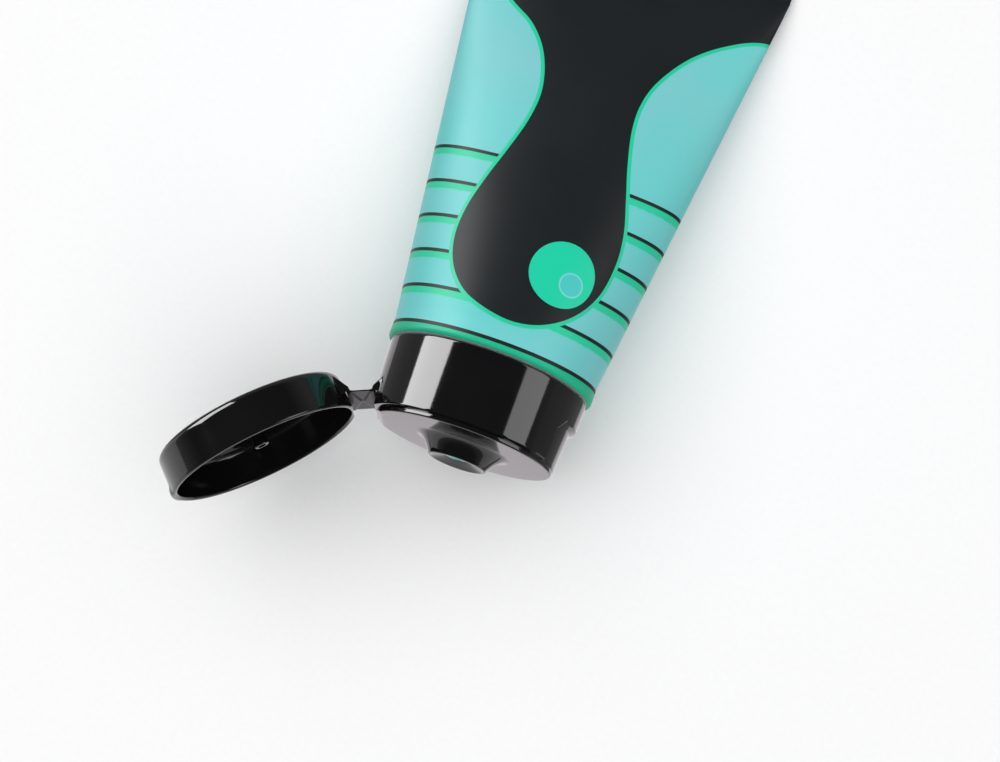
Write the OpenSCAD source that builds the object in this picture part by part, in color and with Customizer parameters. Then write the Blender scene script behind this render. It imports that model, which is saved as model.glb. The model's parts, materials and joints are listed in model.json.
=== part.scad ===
// Flip-top squeeze tube of acrylic paint, lying on its back with the lid open.
//
// Every piece is drawn in the tube's own frame and then laid down by laid():
//   +Z runs from the cap to the flat end seal, and z = 0 is the ledge where the lid closes,
//   -Y is the printed front, -X is the hinge side and +X is the thumb side.
// The lid and its strap are drawn closed, and opened() swings them to the rest pose.

/* [Tube] */
// Outer radius of the round end of the sleeve
sleeve_r = 20; // [19:0.5:21]
// Length of the sleeve from the shoulder to the end seal
sleeve_len = 90.5; // [80:0.5:100]
// Length of the flat end seal
seal_len = 6.5; // [5:0.5:9]
// Thickness of the flat end seal, which is two walls welded together
seal_t = 1.2; // [1:0.1:1.6]
// Wall thickness of the sleeve
sleeve_wall = 0.5; // [0.4:0.1:0.7]
// How full the front of the tube looks: lower bulges more
front_fullness = 0.7; // [0.6:0.05:1]
// How much of the sleeve's length the paint fills
fill_part = 0.93; // [0.7:0.01:0.95]

/* [Cap] */
// Height of the cap base from its foot to the ledge
cap_h = 13.6; // [13.6:0.2:17]
// Height of the deck above the ledge
deck_step = 0.9; // [0.6:0.1:1.2]
// Height of the spout above the deck
spout_h = 3.3; // [2.5:0.1:3.5]
// Radius of the spout's lip
spout_lip_r = 5.7; // [5:0.1:6.5]
// Radius of the hole that the paint comes out of
orifice_r = 1.65; // [1.5:0.05:1.8]
// Depth of the thumb recess in the cap's wall
recess_depth = 1.2; // [0.8:0.1:1.3]
// Height of the thumb recess
recess_h = 8.4; // [6:0.2:9]
// Angle from the middle of the thumb recess to its side
recess_half_angle = 30; // [20:1:35]

/* [Lid] */
// Height of the closed lid above the ledge
lid_h = 7.8; // [7.6:0.1:9]
// Wall thickness of the lid
lid_wall = 1.05; // [0.9:0.05:1.1]
// Radius of the lid's rounded top edge
lid_edge_r = 1.4; // [1:0.1:2]
// Angle that the lid stands open at
open_angle = 134; // [90:1:150]

/* [Hinge] */
// Distance between the two fold lines of the strap
strap_len = 4.3; // [4:0.1:5]
// Width of the strap
strap_w = 15; // [12:0.5:16]
// Thickness of the strap
strap_t = 0.6; // [0.4:0.05:0.6]

/* [Thread] */
// Pitch of the neck thread
pitch = 3; // [2.8:0.1:3.2]
// Radius of the neck under its thread
neck_r = 7.6; // [7.4:0.1:7.8]
// How far the thread stands out
thread_depth = 0.85; // [0.7:0.05:0.9]

/* [Hidden] */

$fn = 96;
joint_gap = 0.3;                 // room left between the cap's foot and the sleeve
seat_gap = 0.02;                 // room left between faces that press together

// Sleeve: the end seal is half the round end's circumference wide
seal_half_w = PI * sleeve_r / 2;
seal_half_t = seal_t / 2;
corner_r = 1.2;                  // rounding where the sleeve turns in to the shoulder
collar_len = 4;                  // round stretch that is welded to the shoulder
sleeve_z = cap_h + joint_gap;
taper_z = sleeve_z + collar_len;
seal_z = sleeve_z + sleeve_len;
sleeve_rings = 20;
sleeve_sides = 64;

// Shoulder and neck
neck_top_z = 1.6;                // the neck's lip, inside the cap
neck_bore_r = 6;
neck_root_z = sleeve_z - 2.7;
flange_r = sleeve_r - sleeve_wall;   // welded to the sleeve
flange_wall = 1;
flange_end_z = taper_z - 0.2;
cone_end_r = sleeve_r - corner_r - 0.8;
cone_wall = 1.15;

// Cap base
cap_foot_r = sleeve_r - 0.75;
cap_rim_r = cap_foot_r - 0.75;
skirt_wall = 1.9;
deck_r = cap_rim_r - lid_wall - 0.25;
deck_roof_z = 0.5;               // underside of the deck
spout_foot_r = 9.2;
lip_z = -deck_step - spout_h;
lip_edge = 0.25;                 // rounding of the spout's lip
orifice_z = lip_z + 1.3;         // bottom of the countersunk mouth
barrel_r = neck_r + thread_depth + 0.3;
barrel_wall = 1.4;
barrel_end_z = neck_root_z - 0.8;
deck_facet_x = -(deck_r - 1.4);  // where the deck slopes down to the hinge

// Hinge: the fold lines run along Y, at z = fold_z on the cap and z = -fold_z on the lid
fold_x = -(cap_rim_r - 0.1);
fold_z = strap_len / 2;
pad_gap = 0.35;                  // from a fold line to the pad that it belongs to
pad_proud = 0.35;                // how far a pad stands out past its fold line
pad_len = 2;
pad_slope = 1.5;

// Lid
lid_top_r = cap_rim_r - 0.25;
lid_inner_r = cap_rim_r - lid_wall;
lid_roof_z = 1.1 - lid_h;        // inside face of the lid's top
plug_r = orifice_r - 0.25;
plug_wall = 0.6;
plug_reach = 1.1;                // how far the closed plug goes into the hole
thumb_lip_w = 10;

// Thread
thread_root_w = 1.3;
thread_tip_w = 0.7;
thread_z = 3.7;                  // where the neck's thread starts
neck_turns = 2;
cap_turns = 1.4;
thread_steps = 24;

// Rest pose: the end of the collar and the end of the seal both touch the table
rest_tilt = atan((sleeve_r - seal_half_t) / (sleeve_len + seal_len - collar_len));
table_drop = sleeve_r * cos(rest_tilt) + taper_z * sin(rest_tilt);
open_half = open_angle / 2;
lid_fold_x = fold_x - strap_len * sin(open_half);
lid_fold_z = fold_z - strap_len * cos(open_half);

// Furthest points of the open part, which put its middle over its origin
edge_x = lid_top_r - lid_edge_r;
edge_z = lid_edge_r - lid_h;
left_x = lid_fold_x + (edge_x - fold_x) * cos(open_angle)
    + (edge_z + fold_z) * sin(open_angle) - lid_edge_r;
low_z = lid_fold_z - (cap_rim_r - fold_x) * sin(open_angle) + fold_z * cos(open_angle);
near_y = low_z * cos(rest_tilt);
far_y = (seal_z + seal_len) * cos(rest_tilt) + seal_half_t * sin(rest_tilt);
shift_x = -(seal_half_w + left_x) / 2;
shift_y = -(far_y + near_y) / 2;

// Lays a piece down from the tube's own frame
module laid() {
    translate([shift_x, shift_y, table_drop])
        rotate([-(90 + rest_tilt), 0, 0])
            children();
}

// Turns a piece about a fold line that runs along Y
module fold(x, z, angle) {
    translate([x, 0, z])
        rotate([0, angle, 0])
            translate([-x, 0, -z])
                children();
}

// Swings the strap, and what it carries, from closed to the rest pose
module opened() {
    fold(fold_x, fold_z, open_half)
        children();
}

// A bar along Y with the given outline in X and Z
module bar(outline, width) {
    rotate([90, 0, 0])
        linear_extrude(width, center = true)
            polygon(outline);
}

// One cross-section of the tube: an ellipse with its own depth in front and behind
function section(z, half_w, front, back) = [
    for (i = [0 : sleeve_sides - 1])
        let (a = 360 * i / sleeve_sides)
        [half_w * cos(a), (sin(a) < 0 ? front : back) * sin(a), z]
];

function round_section(z, r) = section(z, r, r, r);

// The section at part t of the way from the collar to the seal, set in by inset
function tube_section(t, inset) = section(
    taper_z + t * (seal_z - taper_z),
    sleeve_r + (seal_half_w - sleeve_r) * t - inset,
    seal_half_t + (sleeve_r - seal_half_t) * pow(1 - t, front_fullness) - inset,
    seal_half_t + (sleeve_r - seal_half_t) * (1 - t) - inset
);

// Skins a chain of sections into one closed solid
module skin(sections) {
    n = sleeve_sides;
    last = len(sections) - 1;
    sides = [
        for (k = [0 : last - 1], i = [0 : n - 1])
            let (j = (i + 1) % n)
            each [
                [k * n + i, (k + 1) * n + i, (k + 1) * n + j],
                [k * n + i, (k + 1) * n + j, k * n + j]
            ]
    ];
    ends = [
        [for (i = [0 : n - 1]) i],
        [for (i = [n - 1 : -1 : 0]) last * n + i]
    ];
    polyhedron([for (s = sections) each s], concat(ends, sides));
}

// Helical ridge on a cylinder: side is 1 for an outside thread and -1 for an inside one
module thread(root_r, side, start_z, turns) {
    steps = ceil(turns * thread_steps);
    sunk = 0.15;
    points = [
        for (s = [0 : steps])
            let (
                turn = turns * s / steps,
                a = 360 * turn,
                run_in = min(1, 0.15 + 6 * min(turn, turns - turn)),
                tip_r = root_r + side * thread_depth * run_in,
                foot_r = root_r - side * sunk
            )
            for (p = [
                [foot_r, -thread_root_w / 2],
                [tip_r, -thread_tip_w / 2],
                [tip_r, thread_tip_w / 2],
                [foot_r, thread_root_w / 2]
            ])
                [p[0] * cos(a), p[0] * sin(a), start_z + pitch * turn + p[1]]
    ];
    outside_faces = concat(
        [[3, 2, 1, 0], [for (i = [0 : 3]) steps * 4 + i]],
        [
            for (s = [0 : steps - 1], i = [0 : 3])
                let (j = (i + 1) % 4, a = s * 4 + i, b = s * 4 + j)
                each [[a, b, b + 4], [a, b + 4, a + 4]]
        ]
    );
    inside_faces = [
        for (f = outside_faces)
            [for (i = [len(f) - 1 : -1 : 0]) f[i]]
    ];
    polyhedron(points, side > 0 ? outside_faces : inside_faces);
}

// Printed plastic sleeve, round at the shoulder and welded flat at the far end
module tube_sleeve() {
    corner_arc = [
        for (a = [0 : 22.5 : 90])
            round_section(
                sleeve_z + corner_r * (1 - cos(a)),
                sleeve_r - corner_r + corner_r * sin(a)
            )
    ];
    color("mediumturquoise")
        laid()
            skin(concat(
                [for (i = [sleeve_rings - 1 : -1 : 0]) tube_section(i / sleeve_rings, sleeve_wall)],
                [round_section(sleeve_z + corner_r, sleeve_r - sleeve_wall)],
                [round_section(sleeve_z + 0.05, sleeve_r - corner_r - sleeve_wall)],
                corner_arc,
                [for (i = [0 : sleeve_rings]) tube_section(i / sleeve_rings, 0)],
                [section(seal_z + seal_len, seal_half_w, seal_half_t, seal_half_t)]
            ));
}

// Stiff cone that closes the sleeve, with the threaded neck
module tube_shoulder() {
    inner_cone_z = sleeve_z + 0.1 + cone_wall;
    color("white")
        laid() {
            rotate_extrude()
                polygon([
                    [neck_bore_r, neck_top_z],
                    [neck_r - 0.4, neck_top_z],
                    [neck_r, neck_top_z + 0.4],
                    [neck_r, neck_root_z - 0.6],
                    [neck_r + 0.6, neck_root_z],
                    [cone_end_r, sleeve_z + 0.1],
                    [flange_r, sleeve_z + corner_r + 0.2],
                    [flange_r, flange_end_z],
                    [flange_r - flange_wall, flange_end_z],
                    [flange_r - flange_wall, inner_cone_z + 0.9],
                    [cone_end_r - 0.6, inner_cone_z],
                    [neck_bore_r, neck_root_z + 0.55]
                ]);
            thread(neck_r, 1, thread_z, neck_turns);
        }
}

// Paint that fills the sleeve, short of the end seal
module paint_fill() {
    gap = 0.15;
    inset = sleeve_wall + gap;
    first = 0.012;
    rings = sleeve_rings - 2;
    inner_cone_z = sleeve_z + 0.1 + cone_wall + gap;
    color("turquoise")
        laid()
            skin(concat(
                [
                    round_section(neck_top_z + gap, neck_bore_r - gap),
                    round_section(neck_root_z + 0.55 + gap, neck_bore_r - gap),
                    round_section(inner_cone_z + gap, cone_end_r - 0.6 - gap),
                    round_section(inner_cone_z + 0.9 + gap, flange_r - flange_wall - gap),
                    round_section(flange_end_z + gap, flange_r - flange_wall - gap)
                ],
                [
                    for (i = [0 : rings])
                        tube_section(first + (fill_part - first) * i / rings, inset)
                ]
            ));
}

// Thin washer between the neck's lip and the underside of the deck
module neck_seal() {
    thick = neck_top_z - deck_roof_z - 2 * seat_gap;
    color("gainsboro")
        laid()
            translate([0, 0, deck_roof_z + seat_gap])
                difference() {
                    cylinder(h = thick, r = barrel_r - 0.35);
                    translate([0, 0, -1])
                        cylinder(h = thick + 2, r = 3.2);
                }
}

// Scoop in the cap's wall where the thumb lifts the lid, with slanting sides
module thumb_recess() {
    inner_x = 14;
    outer_x = 21;
    slant = 2 / 3;
    surface_x = cap_rim_r + 0.4;
    inner_w = (cap_rim_r - recess_depth) * sin(recess_half_angle);
    inner_top = recess_h - slant * (surface_x - inner_x);
    corner = 2.2;
    difference() {
        hull()
            for (x = [inner_x, outer_x]) {
                grow = slant * (x - inner_x);
                w = inner_w + grow;
                top = inner_top + grow;
                translate([x, 0, 0])
                    rotate([90, 0, 90])
                        linear_extrude(0.01)
                            polygon([
                                [-w, -1],
                                [w, -1],
                                [w, top - corner],
                                [w - corner, top],
                                [corner - w, top],
                                [-w, top - corner]
                            ]);
            }
        translate([0, 0, -2])
            cylinder(h = 12, r1 = cap_rim_r - recess_depth - 0.1, r2 = cap_rim_r - 0.4);
    }
}

// Cap base: skirt, threaded barrel, deck and spout
module cap_base() {
    flare_h = -deck_step - lip_z - lip_edge;
    flare = [
        for (i = [0 : 8])
            let (s = 1 - i / 8)
            [spout_foot_r - (spout_foot_r - spout_lip_r) * s, -deck_step - flare_h * s * s]
    ];
    pad_top = fold_z + pad_gap + pad_len;
    color("#1c1c1e")
        laid() {
            difference() {
                union() {
                    rotate_extrude()
                        polygon(concat(
                            [
                                [orifice_r, deck_roof_z],
                                [orifice_r, orifice_z],
                                [spout_lip_r - 0.6, lip_z],
                                [spout_lip_r - lip_edge, lip_z]
                            ],
                            flare,
                            [
                                [deck_r - 0.3, -deck_step],
                                [deck_r, 0.3 - deck_step],
                                [deck_r, 0],
                                [cap_rim_r - 0.2, 0],
                                [cap_rim_r, 0.2],
                                [cap_foot_r, cap_h - 0.3],
                                [cap_foot_r - 0.3, cap_h],
                                [cap_foot_r - skirt_wall, cap_h],
                                [cap_rim_r - skirt_wall, deck_roof_z],
                                [barrel_r + barrel_wall, deck_roof_z],
                                [barrel_r + barrel_wall, barrel_end_z],
                                [barrel_r, barrel_end_z],
                                [barrel_r, deck_roof_z]
                            ]
                        ));
                    // Pad that carries the strap
                    bar([
                        [1.6 - cap_rim_r, 0.2],
                        [fold_x - pad_proud, 0.2],
                        [fold_x - pad_proud, pad_top],
                        [1.2 - cap_rim_r, pad_top + pad_slope],
                        [1.6 - cap_rim_r, pad_top + pad_slope]
                    ], strap_w);
                }
                thumb_recess();
                // Room for the closed strap
                bar([
                    [fold_x - 2, -0.5],
                    [fold_x + 1, -0.5],
                    [fold_x + 1, 0],
                    [fold_x + 0.45, fold_z + pad_gap],
                    [fold_x - 2, fold_z + pad_gap]
                ], strap_w + 1.2);
                // The deck slopes down towards the hinge
                bar([
                    [deck_facet_x, -deck_step],
                    [deck_facet_x, -deck_step - 1],
                    [-deck_r - 0.5, -deck_step - 1],
                    [-deck_r - 0.5, -0.2]
                ], 2 * deck_r);
            }
            thread(barrel_r, -1, thread_z + pitch / 2, cap_turns);
        }
}

// Moulded strap between the cap base and the lid
module hinge_strap() {
    color("#222224")
        laid()
            opened() {
                for (z = [-fold_z, fold_z])
                    translate([fold_x, 0, z])
                        rotate([90, 0, 0])
                            cylinder(h = strap_w, r = strap_t / 2, center = true);
                translate([fold_x, 0, 0])
                    cube([strap_t, strap_w, strap_len], center = true);
            }
}

// Lid: a shallow cup with the plug that closes the spout
module lid() {
    top_edge = [
        for (a = [0 : 15 : 90])
            [edge_x + lid_edge_r * cos(a), edge_z - lid_edge_r * sin(a)]
    ];
    pad_top = fold_z + pad_gap + pad_len;
    plug_tip_z = orifice_z + plug_reach;
    color("#1c1c1e")
        laid()
            opened()
                fold(fold_x, -fold_z, open_half)
                    difference() {
                        union() {
                            rotate_extrude()
                                polygon(concat(
                                    [[0, 0], [cap_rim_r - 0.15, 0], [cap_rim_r, -0.15]],
                                    top_edge,
                                    [[0, -lid_h]]
                                ));
                            // Pad that carries the strap
                            bar([
                                [lid_wall - cap_rim_r, -fold_z - pad_gap],
                                [fold_x - pad_proud, -fold_z - pad_gap],
                                [fold_x - pad_proud, -pad_top],
                                [1.2 - cap_rim_r, -pad_top - pad_slope],
                                [2.5 - cap_rim_r, -pad_top - pad_slope],
                                [2.5 - cap_rim_r, -fold_z - pad_gap]
                            ], strap_w);
                            // Lip for the thumb
                            bar([
                                [cap_rim_r - 0.8, -0.1],
                                [cap_rim_r + 0.35, -0.1],
                                [cap_rim_r + 0.35, -0.8],
                                [cap_rim_r - 0.8, -2.2]
                            ], thumb_lip_w);
                        }
                        // Inside of the cup, all round the plug
                        rotate_extrude()
                            polygon([
                                [0, 0.5],
                                [lid_inner_r, 0.5],
                                [lid_inner_r, -0.5],
                                [lid_inner_r - 0.2, lid_roof_z],
                                [plug_r, lid_roof_z],
                                [plug_r, plug_tip_z - 0.2],
                                [plug_r - 0.2, plug_tip_z],
                                [plug_r - plug_wall, plug_tip_z],
                                [plug_r - plug_wall, lid_roof_z],
                                [0, lid_roof_z]
                            ]);
                        // Room for the closed strap
                        bar([
                            [fold_x - 2, 0.5],
                            [fold_x + 0.45, 0.5],
                            [fold_x + 0.45, -fold_z - pad_gap],
                            [fold_x - 2, -fold_z - pad_gap]
                        ], strap_w + 1.2);
                    }
}

tube_sleeve();
tube_shoulder();
paint_fill();
neck_seal();
cap_base();
hinge_strap();
lid();
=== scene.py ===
"""Looks of the flip-top paint tube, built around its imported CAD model.

Every piece is drawn in millimetres in the tube's own frame: +Z runs from the cap to the end seal and
z = 0 is the ledge where the lid closes, -Y is the printed front, -X is the hinge side and +X is the
thumb side. A matrix then lays each piece down where the CAD model lies.
"""
import json
import math

import bmesh
import bpy
import numpy as np
from mathutils import Matrix, Vector

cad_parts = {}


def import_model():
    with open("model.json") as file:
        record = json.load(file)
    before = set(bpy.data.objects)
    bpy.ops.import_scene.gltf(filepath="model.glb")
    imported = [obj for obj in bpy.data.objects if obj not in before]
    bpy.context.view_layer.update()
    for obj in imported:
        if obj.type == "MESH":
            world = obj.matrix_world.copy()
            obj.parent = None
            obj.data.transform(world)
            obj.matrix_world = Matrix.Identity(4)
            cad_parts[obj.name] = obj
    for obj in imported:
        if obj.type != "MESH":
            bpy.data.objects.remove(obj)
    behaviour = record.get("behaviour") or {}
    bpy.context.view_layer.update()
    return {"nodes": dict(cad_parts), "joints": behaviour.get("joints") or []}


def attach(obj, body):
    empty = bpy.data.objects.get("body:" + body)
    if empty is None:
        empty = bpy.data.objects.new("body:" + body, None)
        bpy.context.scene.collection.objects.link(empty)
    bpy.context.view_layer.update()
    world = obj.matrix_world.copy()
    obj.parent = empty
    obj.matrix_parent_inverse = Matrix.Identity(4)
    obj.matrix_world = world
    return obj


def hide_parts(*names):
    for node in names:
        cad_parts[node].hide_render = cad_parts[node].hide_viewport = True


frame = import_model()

MM = 0.001

# ---------------------------------------------------------------- sizes in mm, from the CAD source

# Sleeve
SLEEVE_R = 20.0
SLEEVE_Z = 13.9          # where the sleeve starts
TAPER_Z = 17.9           # where it starts to flatten
SEAL_Z = 104.4           # where the end seal starts
SEAL_LEN = 6.5
SEAL_HALF_W = math.pi * SLEEVE_R / 2
SEAL_HALF_T = 0.6
SLEEVE_WALL = 0.5
CORNER_R = 0.8           # round of the edge at the shoulder, finer than the CAD model's
FRONT_FULLNESS = 0.7     # power of the front's taper: under 1 keeps it full

# Cap base
CAP_H = 13.6
RIM_R = 18.5
FOOT_R = 19.25
DECK_R = 17.2
DECK_Z = -0.9
ROOF_Z = 0.5             # underside of the deck
LIP_R = 5.7
LIP_Z = -4.2
FLARE_R = 9.2
FLARE_H = 3.0
ORIFICE_R = 1.65
ORIFICE_Z = -2.9
BARREL_R = 8.75
BARREL_WALL = 1.4
BARREL_END_Z = 10.4
THREAD_Z = 5.2
THREAD_PITCH = 3.0
THREAD_TURNS = 1.4
THREAD_DEPTH = 0.85
THREAD_HALF_ROOT = 0.65
THREAD_HALF_TIP = 0.35
THREAD_SUNK = 0.15       # how far the foot of the ridge sits in the wall
THREAD_STEPS = 100

# Hinge
FOLD_X = -18.4
FOLD_Z = 2.15
OPEN_ANGLE = 134.0
PAD_X = 18.75            # outer face of a hinge pad
PAD_NEAR = 2.5           # a pad runs from here
PAD_FAR = 3.3            # to here, away from the ledge, and then slopes into the wall
STRAP_W = 15.0
PAD_HALF_W = STRAP_W / 2

# Lid
LID_H = 7.8
LID_TOP_R = 18.25
LID_INNER_R = 17.45
LID_EDGE_R = 1.4
LID_ROOF_Z = -6.7
PLUG_R = 1.4
PLUG_WALL = 0.6
PLUG_TIP_Z = -1.8
RIM_ROUND = 0.45         # height of the rounded edge of the lid's mouth

# ---------------------------------------------------------------- frames

JOINTS = {j["name"]: j for j in frame["joints"]}


def laid_down():
    """Takes the tube's own frame to where it lies, as told by the cap's and the strap's axes."""
    tube_y = Vector(JOINTS["strap_fold"]["axis"]).normalized()
    tube_z = -Vector(JOINTS["cap_turn"]["axis"]).normalized()
    tube_x = tube_y.cross(tube_z)
    found = Matrix((tube_x, tube_y, tube_z)).transposed().to_4x4()
    found.translation = Vector(JOINTS["cap_turn"]["pos_m"])
    return found


def fold(x, z):
    """Turns by half the opening angle about a fold line along Y."""
    spot = Matrix.Translation((x * MM, 0, z * MM))
    return spot @ Matrix.Rotation(math.radians(OPEN_ANGLE / 2), 4, "Y") @ spot.inverted()


LAID = laid_down()
STRAP_OPEN = LAID @ fold(FOLD_X, FOLD_Z)
LID_OPEN = STRAP_OPEN @ fold(FOLD_X, -FOLD_Z)

# ---------------------------------------------------------------- mesh helpers


def arc(centre_r, centre_z, radius, start, end, steps):
    """Points (r, z) along an arc, with its angles in degrees from +r towards +z."""
    angles = [math.radians(start + (end - start) * i / steps) for i in range(steps + 1)]
    return [(centre_r + radius * math.cos(a), centre_z + radius * math.sin(a)) for a in angles]


def fine_angles(fine):
    """Angles round a ring, every 2 degrees and every half inside the (centre, half width) spans."""
    found = set()
    for i in range(180):
        found.add(round(i * 2.0, 3))
    for centre, half in fine:
        for i in range(4 * half + 1):
            found.add(round((centre - half + i * 0.5) % 360, 3))
    return sorted(found)


SHARP = math.radians(38)  # edges that turn by more than this stay sharp


def add_mesh(name, points, faces, matrix, body, material):
    """Makes a piece from points in mm, lays it down and lets it ride on a CAD body."""
    mesh = bpy.data.meshes.new(name)
    mesh.from_pydata([matrix @ (Vector(p) * MM) for p in points], [], faces)
    shell = bmesh.new()
    shell.from_mesh(mesh)
    bmesh.ops.recalc_face_normals(shell, faces=shell.faces[:])
    shell.to_mesh(mesh)
    shell.free()
    obj = bpy.data.objects.new(name, mesh)
    bpy.context.scene.collection.objects.link(obj)
    mesh.materials.append(material)
    mesh.shade_smooth()
    mesh.set_sharp_from_angle(angle=SHARP)
    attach(obj, body)
    return obj


def ring_faces(rows, sides, loop=False):
    """Faces that join rows of points, each row a closed ring. The two ends meet or are closed."""
    faces = []
    for k in range(rows if loop else rows - 1):
        here, there = k * sides, (k + 1) % rows * sides
        for i in range(sides):
            j = (i + 1) % sides
            faces.append((here + i, here + j, there + j, there + i))
    if not loop:
        faces.append(tuple(range(sides - 1, -1, -1)))
        faces.append(tuple(range((rows - 1) * sides, rows * sides)))
    return faces


def turned(name, profile, angles, matrix, body, material, loop=False):
    """Turns a profile about Z. profile(angle) gives the same number of (r, z) points at any angle."""
    columns = [profile(a) for a in angles]
    points = []
    for k in range(len(columns[0])):
        for angle, column in zip(angles, columns):
            r, z = column[k]
            a = math.radians(angle)
            points.append((r * math.cos(a), r * math.sin(a), z))
    faces = ring_faces(len(columns[0]), len(angles), loop)
    return add_mesh(name, points, faces, matrix, body, material)


def smooth_step(x):
    """Rises smoothly from 0 at x = 0 to 1 at x = 1."""
    x = min(max(x, 0.0), 1.0)
    return x * x * (3 - 2 * x)


# ---------------------------------------------------------------- material helpers


def linear(code):
    """Linear colour of an sRGB colour written as six hexadecimal digits."""
    parts = [int(code[i:i + 2], 16) / 255 for i in (0, 2, 4)]
    lit = [c / 12.92 if c <= 0.04045 else ((c + 0.055) / 1.055) ** 2.4 for c in parts]
    return (*lit, 1.0)


class Finish:
    """A material built on one Principled shader, with one short call for each node."""

    def __init__(self, name, **settings):
        self.material = bpy.data.materials.new(name)
        self.material.use_nodes = True
        self.tree = self.material.node_tree
        self.tree.nodes.clear()
        output = self.tree.nodes.new("ShaderNodeOutputMaterial")
        self.shader = self.tree.nodes.new("ShaderNodeBsdfPrincipled")
        self.tree.links.new(self.shader.outputs[0], output.inputs[0])
        for socket, value in settings.items():
            self.shader.inputs[socket.replace("_", " ")].default_value = value

    def put(self, value, socket):
        """Gives a socket a number, a colour or another node's result."""
        if isinstance(value, bpy.types.NodeSocket):
            self.tree.links.new(value, socket)
        else:
            socket.default_value = value

    def set(self, name, value):
        """Gives one of the shader's own sockets a value."""
        self.put(value, self.shader.inputs[name])

    def math(self, operation, *values, clamp=False):
        """The result of one arithmetic node."""
        node = self.tree.nodes.new("ShaderNodeMath")
        node.operation = operation
        node.use_clamp = clamp
        for value, socket in zip(values, node.inputs):
            self.put(value, socket)
        return node.outputs[0]

    def mix(self, share, under, over):
        """A colour between under, at share 0, and over, at share 1."""
        node = self.tree.nodes.new("ShaderNodeMix")
        node.data_type = "RGBA"
        self.put(share, node.inputs["Factor"])
        self.put(under, node.inputs[6])
        self.put(over, node.inputs[7])
        return node.outputs[2]

    def place(self):
        """Position on the piece, in metres in its own frame."""
        return self.tree.nodes.new("ShaderNodeTexCoord").outputs["Object"]

    def stretched(self, scale):
        """Position on the piece, scaled by a different amount along each axis."""
        node = self.tree.nodes.new("ShaderNodeMapping")
        self.put(self.place(), node.inputs["Vector"])
        node.inputs["Scale"].default_value = scale
        return node.outputs[0]

    def noise(self, scale, detail=3.0, roughness=0.5, where=None):
        """A cloudy pattern, finer for a larger scale."""
        node = self.tree.nodes.new("ShaderNodeTexNoise")
        self.put(where or self.place(), node.inputs["Vector"])
        node.inputs["Scale"].default_value = scale
        node.inputs["Detail"].default_value = detail
        node.inputs["Roughness"].default_value = roughness
        return node.outputs["Fac"]

    def span(self, value, low, high, to_low, to_high):
        """Maps a value from one range to another, held at the ends."""
        node = self.tree.nodes.new("ShaderNodeMapRange")
        for given, socket in zip((value, low, high, to_low, to_high), node.inputs):
            self.put(given, socket)
        return node.outputs[0]

    def bump(self, height, strength, distance):
        """Makes the skin uneven, with no change to the mesh."""
        node = self.tree.nodes.new("ShaderNodeBump")
        self.put(height, node.inputs["Height"])
        node.inputs["Strength"].default_value = strength
        node.inputs["Distance"].default_value = distance
        self.set("Normal", node.outputs[0])

    def below(self, value, edge, soft=0.05):
        """1 where value is under edge and 0 where it is over, with a thin soft border."""
        gap = self.math("SUBTRACT", edge, value)
        return self.math("MULTIPLY_ADD", gap, 1 / soft, 0.5, clamp=True)


BLACK = (0.0035, 0.0035, 0.004, 1)
BLACK_PALE = (0.006, 0.006, 0.0065, 1)


def black_plastic(name, roughness, shine=0.5):
    """Black moulded plastic with faint mottling, fine scuffs and a slightly uneven skin."""
    made = Finish(name, Specular_IOR_Level=shine)
    cloud = made.noise(90, 4)
    grain = made.noise(2600, 2)
    scuffs = made.noise(1, 5, 0.7, made.stretched((300, 300, 4200)))
    made.set("Base Color", made.mix(cloud, BLACK, BLACK_PALE))
    uneven = made.math("MULTIPLY_ADD", scuffs, 0.06, roughness - 0.03)
    made.set("Roughness", made.math("MULTIPLY_ADD", cloud, 0.04, uneven))
    height = made.math("MULTIPLY_ADD", grain, 0.35, made.noise(240, 2))
    made.bump(height, 0.06, 0.00005)
    return made.material


# ---------------------------------------------------------------- label

PANEL = linear("62C9C6")
PANEL_PALE = linear("80C4C9")
GREEN = linear("1AC79A")
GREEN_DEEP = linear("13B187")
INK = linear("171B1D")
SWATCH = linear("12CBA1")
SWATCH_DOT = linear("45C3BE")
SWATCH_RIM = linear("74CFCC")

LINE_FIRST = 2.5         # height of the lowest line over the sleeve's end
LINE_STEP = 7.1
LINE_COUNT = 6
LINE_HALF = 0.35
BAND = 1.3               # green band under each line
OUTLINE = 0.75           # green outline round the ink
SWATCH_AT = (7.9, 17.8)
SWATCH_R = 6.4
DOT_AT = (10.0, 16.5)
DOT_R = 2.4
DOT_EDGE = 0.3
HALF_ROUND = math.pi * SLEEVE_R
STORED_UNIT = 100        # the mesh keeps places on the label in units of 100 mm

# Edge of the black ink, from the middle of the back round the front and on to the back again, in mm
# round the sleeve from the middle of the front and mm along it from its end: a header with one large
# drop hanging from it
INK_EDGE = [
    (-63, 84), (-45, 83.5), (-34, 81), (-27, 76.5), (-20.2, 70.6), (-15, 66.8), (-11.2, 62),
    (-8.9, 56.5), (-8, 51), (-8.6, 45), (-10.3, 38.5), (-12.4, 31.5), (-14, 25), (-14.2, 19),
    (-12.3, 13.5), (-8.2, 8.9), (-2.6, 6.4), (2.7, 5.8), (7.9, 7.5), (12.8, 11.5), (16.2, 17.2),
    (17.2, 24), (16.5, 30.2), (14.5, 36.7), (12.5, 43), (10.9, 50), (10.7, 56.2), (12.3, 62.5),
    (16.6, 70), (22.6, 76), (30, 80.5), (42, 83.3), (63, 84),
]
INK_STEPS = 6            # short straight pieces between two points of the edge


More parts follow.
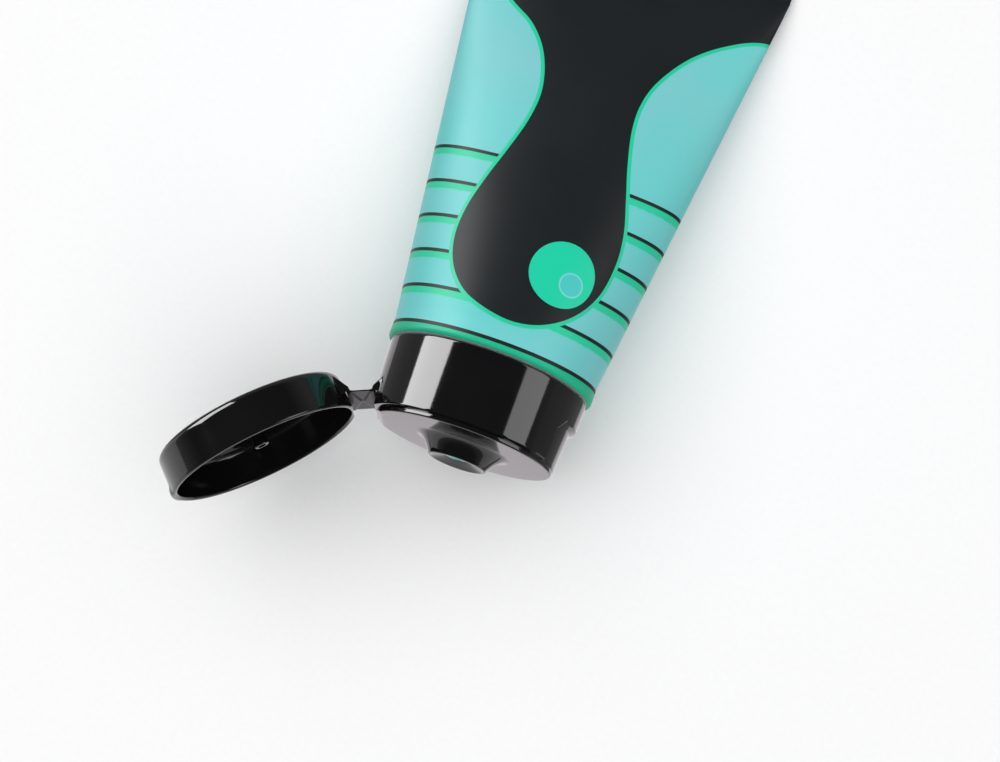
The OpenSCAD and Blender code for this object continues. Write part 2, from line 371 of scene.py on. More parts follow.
def curve_through(points, steps):
    """A smooth line through the points (Catmull-Rom)."""
    p = [points[0]] + points + [points[-1]]
    found = []
    for k in range(len(points) - 1):
        a, b, c, d = (np.array(p[k + i], float) for i in range(4))
        square = 2 * a - 5 * b + 4 * c - d
        cube = 3 * b - a - 3 * c + d
        for s in range(steps):
            t = s / steps
            found.append(0.5 * (2 * b + (c - a) * t + square * t**2 + cube * t**3))
    return np.array(found + [np.array(points[-1], float)])


def ink_distance(places):
    """Distance from each place on the sleeve to the edge of the ink, below zero inside it."""
    edge = curve_through(INK_EDGE, INK_STEPS)
    best = np.full(len(places), 1e9)
    crossings = np.zeros(len(places), int)
    for (u0, v0), (u1, v1) in zip(edge[:-1], edge[1:]):
        along = np.array((u1 - u0, v1 - v0))
        share = ((places - (u0, v0)) @ along / (along @ along)).clip(0, 1)
        best = np.minimum(best, np.linalg.norm(places - (u0, v0) - share[:, None] * along, axis=1))
        spans = (places[:, 0] >= min(u0, u1)) & (places[:, 0] < max(u0, u1))
        run = u1 - u0 if abs(u1 - u0) > 1e-9 else 1e-9
        height = v0 + (places[:, 0] - u0) / run * (v1 - v0)
        crossings += spans & (height < places[:, 1])
    return np.where(crossings % 2 == 1, -best, best)


def line_heights(places):
    """Height of each place for the ruled lines, which sit a little skewed on the sleeve."""
    turn = places[:, 0] / SLEEVE_R
    along = places[:, 1]
    dip = -1.1 + (1.3 + 0.025 * along) * (1 - np.cos(turn)) + 0.02 * along * np.sin(turn)
    return along - dip


def stored_mm(made, name):
    """A measure in mm that the sleeve's mesh keeps for each corner."""
    node = made.tree.nodes.new("ShaderNodeAttribute")
    node.attribute_name = name
    return made.math("MULTIPLY", node.outputs["Fac"], STORED_UNIT)


def ruled_lines(made, colour):
    """Draws the ragged green bands, the solid green strip at the sleeve's end and the dark lines."""
    height = stored_mm(made, "line_height")
    from_first = made.math("SUBTRACT", height, LINE_FIRST)
    row = made.math("ROUND", made.math("DIVIDE", from_first, LINE_STEP))
    past = made.math("SUBTRACT", from_first, made.math("MULTIPLY", row, LINE_STEP))
    in_rows = made.below(height, LINE_FIRST + LINE_STEP * (LINE_COUNT - 1) + 1)
    ragged = made.math("MULTIPLY_ADD", made.noise(900, 4, 0.65), 0.5, -0.25)
    past_rough = made.math("ADD", past, ragged)
    above_foot = made.below(-BAND - LINE_HALF, past_rough, 0.25)
    band = made.math("MULTIPLY", made.below(past_rough, 0), above_foot)
    colour = made.mix(made.math("MULTIPLY", band, in_rows), colour, GREEN)
    colour = made.mix(made.below(height, LINE_FIRST), colour, GREEN_DEEP)
    line = made.below(made.math("ABSOLUTE", past), LINE_HALF)
    return made.mix(made.math("MULTIPLY", line, in_rows), colour, INK)


def ink_shape(made, colour):
    """Draws the black header with its drop, and the green outline round it."""
    to_ink = stored_mm(made, "ink_edge")
    colour = made.mix(made.below(to_ink, OUTLINE, 0.08), colour, GREEN)
    return made.mix(made.below(to_ink, 0), colour, INK)


def swatch_discs(made, colour):
    """Draws the green disc in the drop and the small rimmed disc in it."""
    uv = made.tree.nodes.new("ShaderNodeUVMap")
    uv.uv_map = "label"
    split = made.tree.nodes.new("ShaderNodeSeparateXYZ")
    made.put(uv.outputs[0], split.inputs[0])
    round_mm = made.math("MULTIPLY", split.outputs[0], STORED_UNIT)
    along_mm = made.math("MULTIPLY", split.outputs[1], STORED_UNIT)

    def disc(centre, radius):
        across = made.math("SUBTRACT", round_mm, centre[0])
        up = made.math("SUBTRACT", along_mm, centre[1])
        square = made.math("MULTIPLY_ADD", across, across, made.math("MULTIPLY", up, up))
        return made.below(made.math("SQRT", square), radius)

    colour = made.mix(disc(SWATCH_AT, SWATCH_R), colour, SWATCH)
    colour = made.mix(disc(DOT_AT, DOT_R), colour, SWATCH_RIM)
    return made.mix(disc(DOT_AT, DOT_R - DOT_EDGE), colour, SWATCH_DOT)


def label_print():
    """Printed soft plastic: teal panels, dark lines with green bands, and a black drop with a swatch."""
    made = Finish("printed_sleeve", Specular_IOR_Level=0.18)
    patches = made.span(made.noise(26, 2), 0.35, 0.7, 0, 0.8)
    colour = made.mix(patches, PANEL, PANEL_PALE)
    colour = ruled_lines(made, colour)
    colour = ink_shape(made, colour)
    made.set("Base Color", swatch_discs(made, colour))
    made.set("Roughness", made.span(made.noise(55, 5, 0.6), 0.3, 0.7, 0.4, 0.5))
    skin = made.math("MULTIPLY_ADD", made.noise(1900, 2), 0.25, made.noise(110, 3))
    made.bump(skin, 0.1, 0.0002)
    return made.material


# ---------------------------------------------------------------- sleeve

SLEEVE_SIDES = 240       # starts at the middle of the back, so that the front middle is side 120
TAPER_ROWS = 110
INNER_ROWS = 20
SEAL_ROWS = 52
RIBS = 6
RIB_DEPTH = 0.2
DENT = 0.34              # deepest hollow, less than the wall is thick
DENT_EDGE = 6            # the hollows fade out this near to the sleeve's two side edges


def sleeve_ring(z, half_w, front, back):
    """One cross-section, from the back middle round by the hinge side and the front."""
    ring = []
    for i in range(SLEEVE_SIDES):
        a = math.radians(90 + 360 * i / SLEEVE_SIDES)
        depth = front if math.sin(a) < 0 else back
        ring.append((half_w * math.cos(a), depth * math.sin(a), z))
    return ring


def dent(turn, t):
    """How far the thin wall gives inwards, in mm: a few soft hollows that fade out at both ends."""
    fade = smooth_step((t - 0.12) / 0.3) * smooth_step((0.97 - t) / 0.2)
    wide_wave = math.sin(3 * turn + 7 * t) * math.cos(2 * turn - 9 * t + 1)
    small_wave = 0.5 * math.sin(5 * turn - 13 * t)
    return DENT * fade * (0.5 + (wide_wave + small_wave) / 3)


def dented(ring, t):
    """The outer skin at part t, with its hollows pressed towards the middle."""
    found = []
    for i, (x, y, z) in enumerate(ring):
        depth = dent(2 * math.pi * i / SLEEVE_SIDES, t) * smooth_step(abs(y) / DENT_EDGE)
        found.append((x, y - math.copysign(depth, y), z))
    return found


def taper_ring(t, inset):
    """The cross-section at part t of the way from the round end to the seal, drawn in by inset."""
    thick = SLEEVE_R - SEAL_HALF_T
    return sleeve_ring(
        TAPER_Z + t * (SEAL_Z - TAPER_Z),
        SLEEVE_R + (SEAL_HALF_W - SLEEVE_R) * t - inset,
        SEAL_HALF_T + thick * (1 - t) ** FRONT_FULLNESS - inset,
        SEAL_HALF_T + thick * (1 - t) - inset,
    )


def round_ring(z, r):
    """A round cross-section."""
    return sleeve_ring(z, r, r, r)


def seal_ring(part):
    """A cross-section of the end seal, pressed into fine ribs across its middle."""
    in_ribs = smooth_step((part - 0.12) / 0.05) * smooth_step((0.9 - part) / 0.05)
    pressed = RIB_DEPTH * in_ribs * (0.5 - 0.5 * math.cos(2 * math.pi * RIBS * part))
    half_t = SEAL_HALF_T - pressed
    return sleeve_ring(SEAL_Z + SEAL_LEN * part, SEAL_HALF_W, half_t, half_t)


def ring_lengths(ring):
    """Distance round the sleeve from the front middle to each point, as if it were round."""
    half = SLEEVE_SIDES // 2
    xy = np.array([p[:2] for p in ring] + [ring[0][:2]])
    steps = np.linalg.norm(np.diff(xy, axis=0), axis=1)
    run = np.concatenate([[0], np.cumsum(steps)])
    run -= run[half]
    quarter = abs(run[half // 2])
    far = abs(run[0])
    size = np.abs(run)
    near_part = np.minimum(size, quarter) / quarter * HALF_ROUND / 2
    far_part = (size - quarter).clip(0) / (far - quarter) * HALF_ROUND / 2
    return np.sign(run) * (near_part + far_part)


def outer_rings():
    """The sleeve's outside, from its rounded edge at the shoulder to the end of the seal."""
    rings = []
    for a in range(0, 91, 10):
        turn = math.radians(a)
        z = SLEEVE_Z + CORNER_R * (1 - math.cos(turn))
        rings.append(round_ring(z, SLEEVE_R - CORNER_R + CORNER_R * math.sin(turn)))
    for z in (1.6, 2.3, 3.2):
        rings.append(round_ring(SLEEVE_Z + z, SLEEVE_R))
    for i in range(TAPER_ROWS + 1):
        rings.append(dented(taper_ring(i / TAPER_ROWS, 0), i / TAPER_ROWS))
    for i in range(SEAL_ROWS):
        rings.append(seal_ring((i + 1) / SEAL_ROWS))
    return rings


def inner_rings():
    """The sleeve's inside, from deep inside to the open end at the shoulder."""
    rings = [taper_ring(0.95 * i / INNER_ROWS, SLEEVE_WALL) for i in range(INNER_ROWS, -1, -1)]
    rings.append(round_ring(SLEEVE_Z + CORNER_R, SLEEVE_R - SLEEVE_WALL))
    rings.append(round_ring(SLEEVE_Z + 0.05, SLEEVE_R - CORNER_R - SLEEVE_WALL))
    return rings


def store_label_places(obj, rings, first_outer):
    """Keeps for each corner of the mesh its place on the label, for the print to read."""
    lengths = [ring_lengths(ring) for ring in rings]
    obj.data.uv_layers.new(name="label")
    obj.data.attributes.new("ink_edge", "FLOAT", "CORNER")
    obj.data.attributes.new("line_height", "FLOAT", "CORNER")
    corners = np.zeros((len(obj.data.loops), 2))
    for face in obj.data.polygons:
        rows = [v // SLEEVE_SIDES for v in face.vertices]
        sides = [v % SLEEVE_SIDES for v in face.vertices]
        crosses = max(sides) - min(sides) > SLEEVE_SIDES // 2
        if min(rows) < first_outer:
            face.material_index = 1
        for loop, row, side in zip(face.loop_indices, rows, sides):
            place = SLEEVE_SIDES if crosses and side == 0 else side
            corners[loop] = (lengths[row][place], rings[row][side][2] - SLEEVE_Z)
    label = obj.data.uv_layers["label"]
    label.data.foreach_set("uv", (corners / STORED_UNIT).ravel().astype(np.float32))
    for name, values in (("ink_edge", ink_distance(corners)), ("line_height", line_heights(corners))):
        stored = obj.data.attributes[name]
        stored.data.foreach_set("value", (values / STORED_UNIT).astype(np.float32))


def tube_sleeve(material, inner):
    """The printed sleeve, round at the shoulder and welded flat at the far end."""
    inside = inner_rings()
    rings = inside + outer_rings()
    points = [p for ring in rings for p in ring]
    faces = ring_faces(len(rings), SLEEVE_SIDES)
    obj = add_mesh("tube_sleeve_printed", points, faces, LAID, "tube", material)
    obj.data.materials.append(inner)
    store_label_places(obj, rings, len(inside))
    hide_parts("tube_sleeve")


# ---------------------------------------------------------------- walls of the cap and the lid

FAR_AWAY = 1e9           # stands for no flat
PAD_SLOPE = 0.5          # how far a pad draws in for each mm past PAD_FAR
PAD_END = 0.8            # width of its rounded ends
SOFT_ENDS = 0.22         # share of a ramp that is rounded at each end


def from_hinge(angle):
    """Angle from the hinge side, in radians."""
    return math.radians(abs((angle % 360) - 180))


def from_thumb(angle):
    """Angle from the thumb side, in degrees."""
    return abs((angle + 180) % 360 - 180)


def chord(x, angle):
    """Radius of the flat plane at distance x on the hinge side."""
    away = from_hinge(angle)
    return x / math.cos(away) if away < 1.2 else FAR_AWAY


def pad_reach(z):
    """How far out a hinge pad stands at this distance from the ledge, or from the lid's mouth."""
    if z < PAD_NEAR:
        return 0
    return PAD_X if z <= PAD_FAR else PAD_X - (z - PAD_FAR) * PAD_SLOPE


def padded_wall(r, angle, z):
    """Wall radius with a hinge pad standing out of it, its two ends rounded off."""
    away = from_hinge(angle)
    inside = PAD_HALF_W - PAD_X * math.tan(min(away, 1.0))
    share = smooth_step(inside / PAD_END + 0.02)
    return r + share * (max(r, chord(pad_reach(z), angle)) - r)


def eased(x):
    """A straight ramp from 0 to 1 with rounded ends."""
    if x <= 0 or x >= 1:
        return float(x >= 1)
    rise = 1 / (1 - SOFT_ENDS)
    if x < SOFT_ENDS:
        return rise * x * x / (2 * SOFT_ENDS)
    if x > 1 - SOFT_ENDS:
        return 1 - rise * (1 - x) ** 2 / (2 * SOFT_ENDS)
    return rise * (x - SOFT_ENDS / 2)


def hinge_angles(base):
    """The ring's angles, with a pair close together at each side of a hinge pad."""
    pad_side = math.degrees(math.atan(PAD_HALF_W / PAD_X))
    near = [pad_side - 0.01, pad_side + 0.12]
    extra = [180 + s * a for a in near for s in (1, -1)]
    kept = [a for a in base if all(abs(a - e) > 0.1 for e in extra)]
    return sorted(kept + extra)


# ---------------------------------------------------------------- cap base

RECESS_HALF = 33.5       # degrees from the middle of the thumb recess to where its side starts
RECESS_H = 8.4
RECESS_SLOPE = 0.8       # width of its slanting side
RECESS_CORNER = 2.2      # how much of each corner is cut off
RECESS_FLOOR_R = 17.35
RECESS_LEAN = 0.075      # how far its floor leans out for each mm away from the ledge
FACET_X = 15.8           # where the deck starts to slope towards the hinge
FACET_RISE = 0.368
FLAT_X = 17.4            # the flat on the hinge side at the ledge
FLAT_SLOPE = 0.22        # how far it leans out for each mm away from the ledge


def recess_depth(angle, z):
    """Depth of the thumb recess, which has slanting sides and cut corners."""
    side = math.radians(RECESS_HALF - from_thumb(angle)) * RIM_R
    top = RECESS_H - z
    corner = (side + top - RECESS_CORNER) / math.sqrt(2)
    inside = min(side, top, corner)
    floor_r = RECESS_FLOOR_R + RECESS_LEAN * z
    wall_r = RIM_R + (FOOT_R - RIM_R) * z / CAP_H
    return (wall_r - floor_r) * eased(inside / RECESS_SLOPE)


def cap_wall(angle, z):
    """Radius of the cap's outer wall."""
    r = RIM_R + (FOOT_R - RIM_R) * z / CAP_H - recess_depth(angle, z)
    if z < PAD_NEAR:
        return min(r, chord(FLAT_X + FLAT_SLOPE * z, angle))
    return padded_wall(r, angle, z)


# Distances from the ledge of the rows of points on the wall, a close pair where the pads start
CAP_ROWS = [0.25, 0.4] + [0.6 + 0.2 * i for i in range(10)] + [PAD_NEAR - 0.02, PAD_NEAR + 0.02]
CAP_ROWS += [2.6 + 0.2 * i for i in range(32)] + [9.4, 10.4, 11.4, 12.4, CAP_H - 0.5]


def cap_profile(angle):
    """The cap's cross-section, from the hole over the deck, down the wall and back inside."""
    facet = chord(FACET_X, angle)

    def deck(r, z=DECK_Z):
        """A point on the deck, lifted where the deck slopes towards the hinge."""
        x = r * math.cos(from_hinge(angle))
        return (r, z + max(0, x - FACET_X) * FACET_RISE)

    # the hole and the spout's mouth and lip
    points = [(ORIFICE_R, ROOF_Z), (ORIFICE_R, ORIFICE_Z + 0.25)]
    points += [(ORIFICE_R + 0.05, ORIFICE_Z + 0.07), (ORIFICE_R + 0.2, ORIFICE_Z - 0.05)]
    points += [(3.4, -3.56), (4.85, -4.1), (5.02, LIP_Z), (5.2, LIP_Z)]
    points += arc(LIP_R - 0.3, LIP_Z + 0.3, 0.3, 270, 360, 4)
    # the spout's flare
    for i in range(1, 15):
        s = 1 - i / 14
        points.append((FLARE_R - (FLARE_R - LIP_R) * s, DECK_Z - FLARE_H * s * s))
    # the deck and the step at its edge
    points += [(FLARE_R + 0.4, DECK_Z), deck(12), deck(14.4), deck(min(15.3, facet - 0.05))]
    points += [deck(min(16.3, facet)), deck(min(16.6, facet + 0.05)), deck(16.75)]
    points += [deck(r, z) for r, z in arc(DECK_R - 0.3, DECK_Z + 0.3, 0.3, 270, 360, 4)]
    points += [(DECK_R, -0.12), (DECK_R, 0)]
    # the ledge and its rounded edge
    rim = cap_wall(angle, 0)
    ledge_edge = rim - max(0.1, min(0.35, rim - DECK_R - 0.12))
    points += [(min(DECK_R + 0.1, rim - 0.08), 0), (ledge_edge, 0)]
    points += [(cap_wall(angle, 0.1) - 0.07, 0.04)]
    # the wall and its foot
    points += [(cap_wall(angle, z), z) for z in CAP_ROWS]
    points += arc(FOOT_R - 0.35, CAP_H - 0.35, 0.33, 0, 90, 4)
    # the inside of the skirt and the threaded barrel
    points += [(18.6, CAP_H - 0.02), (17.6, CAP_H - 0.02), (17.35, CAP_H - 0.3)]
    points += [(RIM_R - 1.9, ROOF_Z)]
    outer = BARREL_R + BARREL_WALL
    points += [(outer, ROOF_Z), (outer, BARREL_END_Z), (BARREL_R, BARREL_END_Z), (BARREL_R, ROOF_Z)]
    return points


def cap_base(material):
    """The skirt, the deck with its spout and the barrel inside, finer at the recess and the hinge."""
    angles = hinge_angles(fine_angles([(0, 36), (180, 27)]))
    name = "cap_base_moulded"
    obj = turned(name, cap_profile, angles, LAID, "cap", material, loop=True)
    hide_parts("cap_base")


def cap_thread(material):
    """The thread ridge inside the cap's barrel, its foot sunk in the wall and its ends run out."""
    rings = []
    foot_r = BARREL_R + THREAD_SUNK
    for i in range(THREAD_STEPS + 1):
        turns = THREAD_TURNS * i / THREAD_STEPS
        a = 2 * math.pi * turns
        run_in = min(1, 0.15 + 6 * min(turns, THREAD_TURNS - turns))
        tip_r = BARREL_R - THREAD_DEPTH * run_in
        section = [(foot_r, -THREAD_HALF_ROOT), (tip_r, -THREAD_HALF_TIP)]
        section += [(tip_r, THREAD_HALF_TIP), (foot_r, THREAD_HALF_ROOT)]
        z = THREAD_Z + THREAD_PITCH * turns
        rings.append([(r * math.cos(a), r * math.sin(a), z + rise) for r, rise in section])
    points = [p for ring in rings for p in ring]
    faces = ring_faces(len(rings), 4)
    add_mesh("cap_thread_moulded", points, faces, LAID, "cap", material)


# ---------------------------------------------------------------- lid

LID_FLAT_X = 17.95       # the flat on the hinge side at the lid's mouth
TAB_OUT = 0.32           # how far the thumb's tab stands out of the lid's mouth
TAB_HALF = 15            # half its width in degrees, of which the last 7 fade out
TAB_H = 2.4


def lid_wall(angle, depth):
    """Radius of the lid's outer wall at a depth under its mouth."""
    r = RIM_R - (RIM_R - LID_TOP_R) * depth / (LID_H - LID_EDGE_R)
    if depth < PAD_NEAR:
        across = smooth_step((TAB_HALF - from_thumb(angle)) / 7)
        down = smooth_step((TAB_H - depth) / 1.6)
        return min(r, chord(LID_FLAT_X, angle)) + TAB_OUT * across * down
    return padded_wall(r, angle, depth)


# Depths under the mouth of the rows of points on the wall
LID_ROWS = [0.6, 0.8, 1.1, 1.4, 1.8, 2.2, PAD_NEAR - 0.02, PAD_NEAR + 0.02]
LID_ROWS += [2.9, PAD_FAR - 0.02, PAD_FAR + 0.06, 3.7, 4.1, 4.5, 4.9, 5.3, 5.7, 6.0, 6.2]


def lid_profile(angle):
    """The lid's cross-section, from the hollow plug over the roof and mouth to the top face."""
    # the plug
    bore = PLUG_R - PLUG_WALL
    points = [(bore, LID_ROOF_Z), (bore, PLUG_TIP_Z - 0.12), (bore + 0.12, PLUG_TIP_Z)]
    points += arc(PLUG_R - 0.22, PLUG_TIP_Z - 0.22, 0.22, 90, 0, 4)
    points += [(PLUG_R, -4.5), (PLUG_R, LID_ROOF_Z + 0.25)]
    points += [(PLUG_R + 0.25, LID_ROOF_Z), (PLUG_R + 0.6, LID_ROOF_Z)]
    # the roof and the inner wall
    points += [(6, LID_ROOF_Z), (12, LID_ROOF_Z), (16.2, LID_ROOF_Z)]
    points += arc(LID_INNER_R - 0.2 - 0.8, LID_ROOF_Z + 0.8, 0.8, 270, 360, 5)
    points += [(LID_INNER_R - 0.1, -4.2), (LID_INNER_R - 0.02, -1.5)]
    # the rounded edge of the mouth
    rim = lid_wall(angle, RIM_ROUND)
    half = (rim - LID_INNER_R) / 2
    for turn in range(180, -1, -15):
        a = math.radians(turn)
        points.append((LID_INNER_R + half * (1 + math.cos(a)), RIM_ROUND * (math.sin(a) - 1)))
    # the outer wall and the top face
    points += [(lid_wall(angle, d), -d) for d in LID_ROWS]
    points += arc(LID_TOP_R - LID_EDGE_R, LID_EDGE_R - LID_H, LID_EDGE_R, 0, -90, 9)
    points += [(16.4, -LID_H), (15.4, -LID_H)]
    return points


def lid(material):
    """The flip-up cup with its hollow plug, finer at the thumb's tab and the hinge."""
    angles = hinge_angles(fine_angles([(0, 18), (180, 27)]))
    obj = turned("lid_moulded", lid_profile, angles, LID_OPEN, "flip_lid", material)
    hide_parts("lid")


# ---------------------------------------------------------------- hinge strap

STRAP_COLUMNS = 60
PRESSED_INSIDE = 0.26    # depth of its triangles on the side that is inside when the lid is closed
PRESSED_OUTSIDE = 0.1    # and on the other side


def strap_rows():
    """Heights along the strap with half its thickness there, thinner beyond the fold lines."""
    steps = round((2 * FOLD_Z - 0.6) / 0.1)
    rows = [(-FOLD_Z - 0.28, 0.06), (-FOLD_Z - 0.15, 0.22), (-FOLD_Z + 0.15, 0.24)]
    rows += [(-FOLD_Z + 0.3 + 0.1 * i, 0.3) for i in range(steps + 1)]
    rows += [(FOLD_Z - 0.15, 0.24), (FOLD_Z + 0.15, 0.22), (FOLD_Z + 0.28, 0.06)]
    return rows


def hinge_strap(material):
    """The moulded strap: a thin web with two pressed triangles that meet in its middle."""
    half_w = STRAP_W / 2
    rows = strap_rows()
    rings = []
    for i in range(STRAP_COLUMNS + 1):
        y = -half_w + 2 * half_w * i / STRAP_COLUMNS
        waist = 0.35 + (FOLD_Z - 0.5) * abs(y) / half_w
        ring = []
        for z, half_t in rows:
            pressed = PRESSED_INSIDE * eased((waist - abs(z)) / 0.4)
            ring.append((FOLD_X + half_t - pressed, y, z))
        for z, half_t in reversed(rows):
            pressed = PRESSED_OUTSIDE * eased((waist - abs(z)) / 0.4)
            ring.append((FOLD_X - half_t + pressed, y, z))
        rings.append(ring)
    points = [p for ring in rings for p in ring]
    faces = ring_faces(len(rings), len(rings[0]))
    obj = add_mesh("hinge_strap_moulded", points, faces, STRAP_OPEN, "strap", material)
    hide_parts("hinge_strap")


# ---------------------------------------------------------------- paint left round the hole

TRACE_R = 1.56           # inner radius, just inside the hole and outside the closed plug
TRACE_H = 0.3
MOUTH_SLOPE = 0.377      # the mouth's own slope outside the hole


def trace_profile(angle):
    """Cross-section of the paint round the hole, which reaches further out on one side."""
    a = math.radians(angle)
    reach = 0.75 + 0.3 * math.sin(a + 4.2) + 0.14 * math.sin(3 * a + 1) + 0.08 * math.sin(7 * a)
    points = []
    for i in range(9):
        s = i / 8
        r = TRACE_R + reach * s
        ground = ORIFICE_Z - max(0, r - ORIFICE_R) * MOUTH_SLOPE
        swell = TRACE_H * math.sqrt(max(0.0, s * (1 - s))) * 2 * (0.8 + 0.2 * math.sin(2 * a))
        points.append((r, ground - swell + 0.04))
    points += [(TRACE_R + reach, ORIFICE_Z - 0.3), (TRACE_R, ORIFICE_Z + 0.5)]
    return points


def paint_trace(material):
    """A thin, uneven ring of fresh paint left in the spout's mouth, clear of the closed plug."""
    angles = [i * 4 for i in range(90)]
    name = "paint_in_mouth"
    turned(name, trace_profile, angles, LAID, "cap", material, loop=True)


# ---------------------------------------------------------------- carried-over CAD nodes


def wet_paint():
    """Wet acrylic paint: thick, glossy and a little uneven in tone."""
    made = Finish(
        "acrylic_paint",
        Specular_IOR_Level=0.5,
        Subsurface_Weight=0.15,
        Subsurface_Radius=(0.001, 0.002, 0.002),
        Coat_Weight=0.6,
        Coat_Roughness=0.08,
    )
    drift = made.noise(160, 4)
    made.set("Base Color", made.mix(drift, linear("00A99B"), linear("10C2B2")))
    made.set("Roughness", made.span(drift, 0.3, 0.7, 0.2, 0.34))
    made.bump(made.noise(320, 3), 0.25, 0.0004)
    return made.material


def shoulder_plastic():
    """White moulded polyethylene, which lets a little light in. It also lines the sleeve."""
    made = Finish(
        "shoulder_plastic",
        Specular_IOR_Level=0.45,
        Subsurface_Weight=0.2,
        Subsurface_Radius=(0.002, 0.002, 0.002),
    )
    cloud = made.noise(120, 4)
    made.set("Base Color", made.mix(cloud, linear("E4E6E4"), linear("F1F2EF")))
    made.set("Roughness", made.span(cloud, 0.3, 0.7, 0.32, 0.44))
    made.bump(made.noise(1800, 2), 0.1, 0.0001)
    return made.material


def seal_foam():
    """Pale foam with fine cells."""
    made = Finish("seal_foam", Specular_IOR_Level=0.3)
    cells = made.noise(3200, 3, 0.7)
    made.set("Base Color", made.mix(cells, linear("C9CCC8"), linear("EDEEEA")))
    made.set("Roughness", made.span(cells, 0.3, 0.7, 0.7, 0.9))
    made.bump(cells, 0.5, 0.0002)
    return made.material


def dress(node, material):
    """Gives a carried-over CAD node its finish."""
    for slot in frame["nodes"][node].material_slots:
        slot.material = material


# ---------------------------------------------------------------- stage, lights and camera

# In metres where the tube lies, apart from the camera, which is placed in the tube's own frame in mm
FLOOR_R = 2.6
FLOOR_SPLIT_Y = -0.065
BACKDROP_R = FLOOR_R - 0.05
BACKDROP_H = 2.4
CARD_R = 0.15
CARD_AT = (-0.03, -0.05, -0.12)
PAPER_GLOW = 0.8
CIRCLE_SIDES = 96
LIGHTS_AIM = (0, 0, 0.02)
CAMERA_AT = (21.2, -308.5, -57.8)
CAMERA_LOOK = (-0.0591, 0.9728, 0.224)
CAMERA_UP = (-0.3239, -0.2309, 0.9175)
LENS = 61.12


def stage_mesh(name, points, faces, material):
    """Adds a mesh that isn't part of the object. It stays out of reflections unless it is let in."""
    mesh = bpy.data.meshes.new(name)
    mesh.from_pydata(points, [], faces)
    mesh.materials.append(material)
    obj = bpy.data.objects.new(name, mesh)
    bpy.context.scene.collection.objects.link(obj)
    obj.visible_glossy = False
    return obj


def circle(radius, z):
    """Points of a level circle."""
    turns = [2 * math.pi * i / CIRCLE_SIDES for i in range(CIRCLE_SIDES)]
    return [(radius * math.cos(a), radius * math.sin(a), z) for a in turns]


def paper(name, dark, light, **settings):
    """Matt paper with a faint mottle."""
    made = Finish(name, Specular_IOR_Level=0.0, **settings)
    fibres = made.noise(900, 4)
    made.set("Base Color", made.mix(fibres, dark, light))
    made.set("Roughness", made.span(fibres, 0.3, 0.7, 0.75, 0.9))
    return made.material


def glowing_paper(name, tint):
    """Paper that looks evenly lit by itself."""
    settings = {"Emission_Strength": PAPER_GLOW, "Emission_Color": tint}
    return paper(name, (0.8, 0.8, 0.81, 1), (0.84, 0.84, 0.84, 1), **settings)


def floor():
    """A wide plain floor in two halves. Only the half in front of the cap shows in the gloss."""
    made = paper("floor_paper", (0.86, 0.86, 0.87, 1), (0.9, 0.9, 0.9, 1))
    for name, side in (("floor_front", -1), ("floor_back", 1)):
        rim = []
        for i in range(49):
            a = math.pi * i / 48
            rim.append((FLOOR_R * math.cos(a), FLOOR_SPLIT_Y + side * FLOOR_R * math.sin(a), 0))
        order = range(len(rim)) if side > 0 else range(len(rim) - 1, -1, -1)
        obj = stage_mesh(name, rim, [tuple(order)], made)
        obj.visible_glossy = side < 0


def backdrop():
    """A pale round wall behind the floor, seen by the camera only."""
    points = circle(BACKDROP_R, -0.01) + circle(BACKDROP_R, BACKDROP_H)
    faces = []
    for i in range(CIRCLE_SIDES):
        j = (i + 1) % CIRCLE_SIDES
        faces.append((i, CIRCLE_SIDES + i, CIRCLE_SIDES + j, j))
    made = glowing_paper("backdrop_paper", (1, 1, 1, 1))
    obj = stage_mesh("backdrop", points, faces, made)
    obj.visible_diffuse = False
    obj.visible_shadow = False


def under_card():
    """A pale card under the object, seen in the gloss only: it shows in the deck and the lowest edges."""
    made = glowing_paper("card_paper", (1.0, 0.93, 0.98, 1))
    points = [(x + CARD_AT[0], y + CARD_AT[1], z) for x, y, z in circle(CARD_R, CARD_AT[2])]
    obj = stage_mesh("under_card", points, [tuple(range(len(points)))], made)
    obj.visible_glossy = True
    obj.visible_camera = False
    obj.visible_diffuse = False
    obj.visible_shadow = False


def softbox(name, direction, distance, width, height, power, diffuse=True, glossy=True):
    """A rectangular light that faces the object. width runs level and height runs up."""
    data = bpy.data.lights.new(name, "AREA")
    data.shape = "RECTANGLE"
    data.size = width
    data.size_y = height
    data.energy = power
    obj = bpy.data.objects.new(name, data)
    bpy.context.scene.collection.objects.link(obj)
    away = Vector(direction).normalized()
    obj.location = away * distance + Vector(LIGHTS_AIM)
    obj.rotation_mode = "QUATERNION"
    obj.rotation_quaternion = away.to_track_quat("Z", "Y")
    obj.visible_diffuse = diffuse
    obj.visible_glossy = glossy


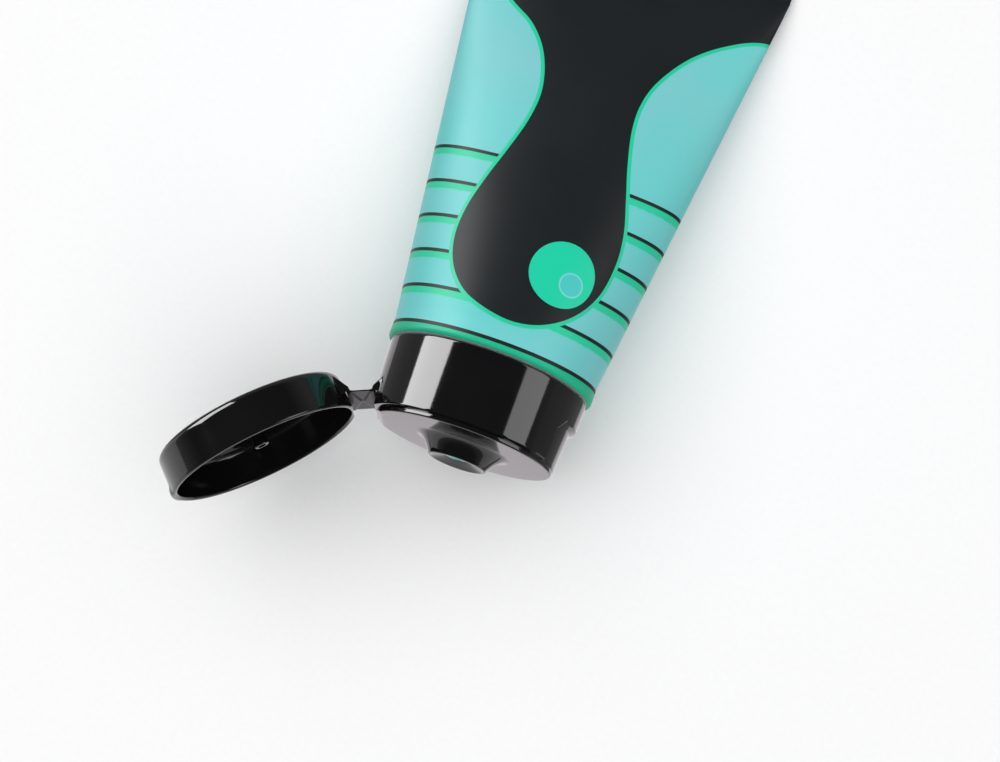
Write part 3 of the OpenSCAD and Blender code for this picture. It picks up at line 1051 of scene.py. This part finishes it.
def world():
    """The room beyond the backdrop: grey near the horizon and dim overhead."""
    made = bpy.data.worlds.new("studio")
    bpy.context.scene.world = made
    made.use_nodes = True
    tree = made.node_tree
    light = tree.nodes["Background"]
    where = tree.nodes.new("ShaderNodeTexCoord")
    split = tree.nodes.new("ShaderNodeSeparateXYZ")
    ramp = tree.nodes.new("ShaderNodeValToRGB")
    horizon, sky = ramp.color_ramp.elements
    horizon.position = 0.05
    horizon.color = (0.28, 0.28, 0.28, 1)
    sky.position = 0.4
    sky.color = (0.045, 0.045, 0.048, 1)
    tree.links.new(where.outputs["Generated"], split.inputs[0])
    tree.links.new(split.outputs[2], ramp.inputs[0])
    tree.links.new(ramp.outputs[0], light.inputs[0])


def camera():
    """The camera, at the angle and distance of the photograph."""
    data = bpy.data.cameras.new("camera")
    data.sensor_width = 36
    data.lens = LENS
    data.clip_start = 0.01
    data.clip_end = 20
    obj = bpy.data.objects.new("camera", data)
    bpy.context.scene.collection.objects.link(obj)
    turn = LAID.to_3x3()
    back = -(turn @ Vector(CAMERA_LOOK)).normalized()
    up = turn @ Vector(CAMERA_UP)
    right = up.cross(back).normalized()
    up = back.cross(right)
    made = Matrix((right, up, back)).transposed().to_4x4()
    made.translation = LAID @ (Vector(CAMERA_AT) * MM)
    obj.matrix_world = made
    bpy.context.scene.camera = obj


# ---------------------------------------------------------------- the whole scene

GLOSSY = 0.06            # roughness of the polished plastic
MATT = 0.25              # and of the strap

paint = wet_paint()
shoulder = shoulder_plastic()
tube_sleeve(label_print(), shoulder)
cap_black = black_plastic("cap_black", GLOSSY)
cap_base(cap_black)
cap_thread(cap_black)
hinge_strap(black_plastic("strap_black", MATT, shine=0.04))
lid(black_plastic("lid_black", GLOSSY))
paint_trace(paint)
dress("tube_shoulder", shoulder)
dress("paint_fill", paint)
dress("neck_seal", seal_foam())

floor()
backdrop()
under_card()
world()
# The first two show in the gloss only. The last two light the scene softly and show in no gloss
softbox("left_box", (-0.86, 0.22, 0.40), 1.2, width=1.0, height=0.78, power=31, diffuse=False)
softbox("right_box", (0.84, 0.24, 0.52), 1.2, width=1.0, height=0.60, power=6, diffuse=False)
softbox("overhead", (0.0, 0.0, 1.0), 3.0, width=8.0, height=8.0, power=285, glossy=False)
softbox("left_wash", (-0.5, 0.2, 0.8), 1.3, width=1.4, height=1.0, power=2, glossy=False)
camera()
bpy.context.scene.view_settings.view_transform = "Standard"
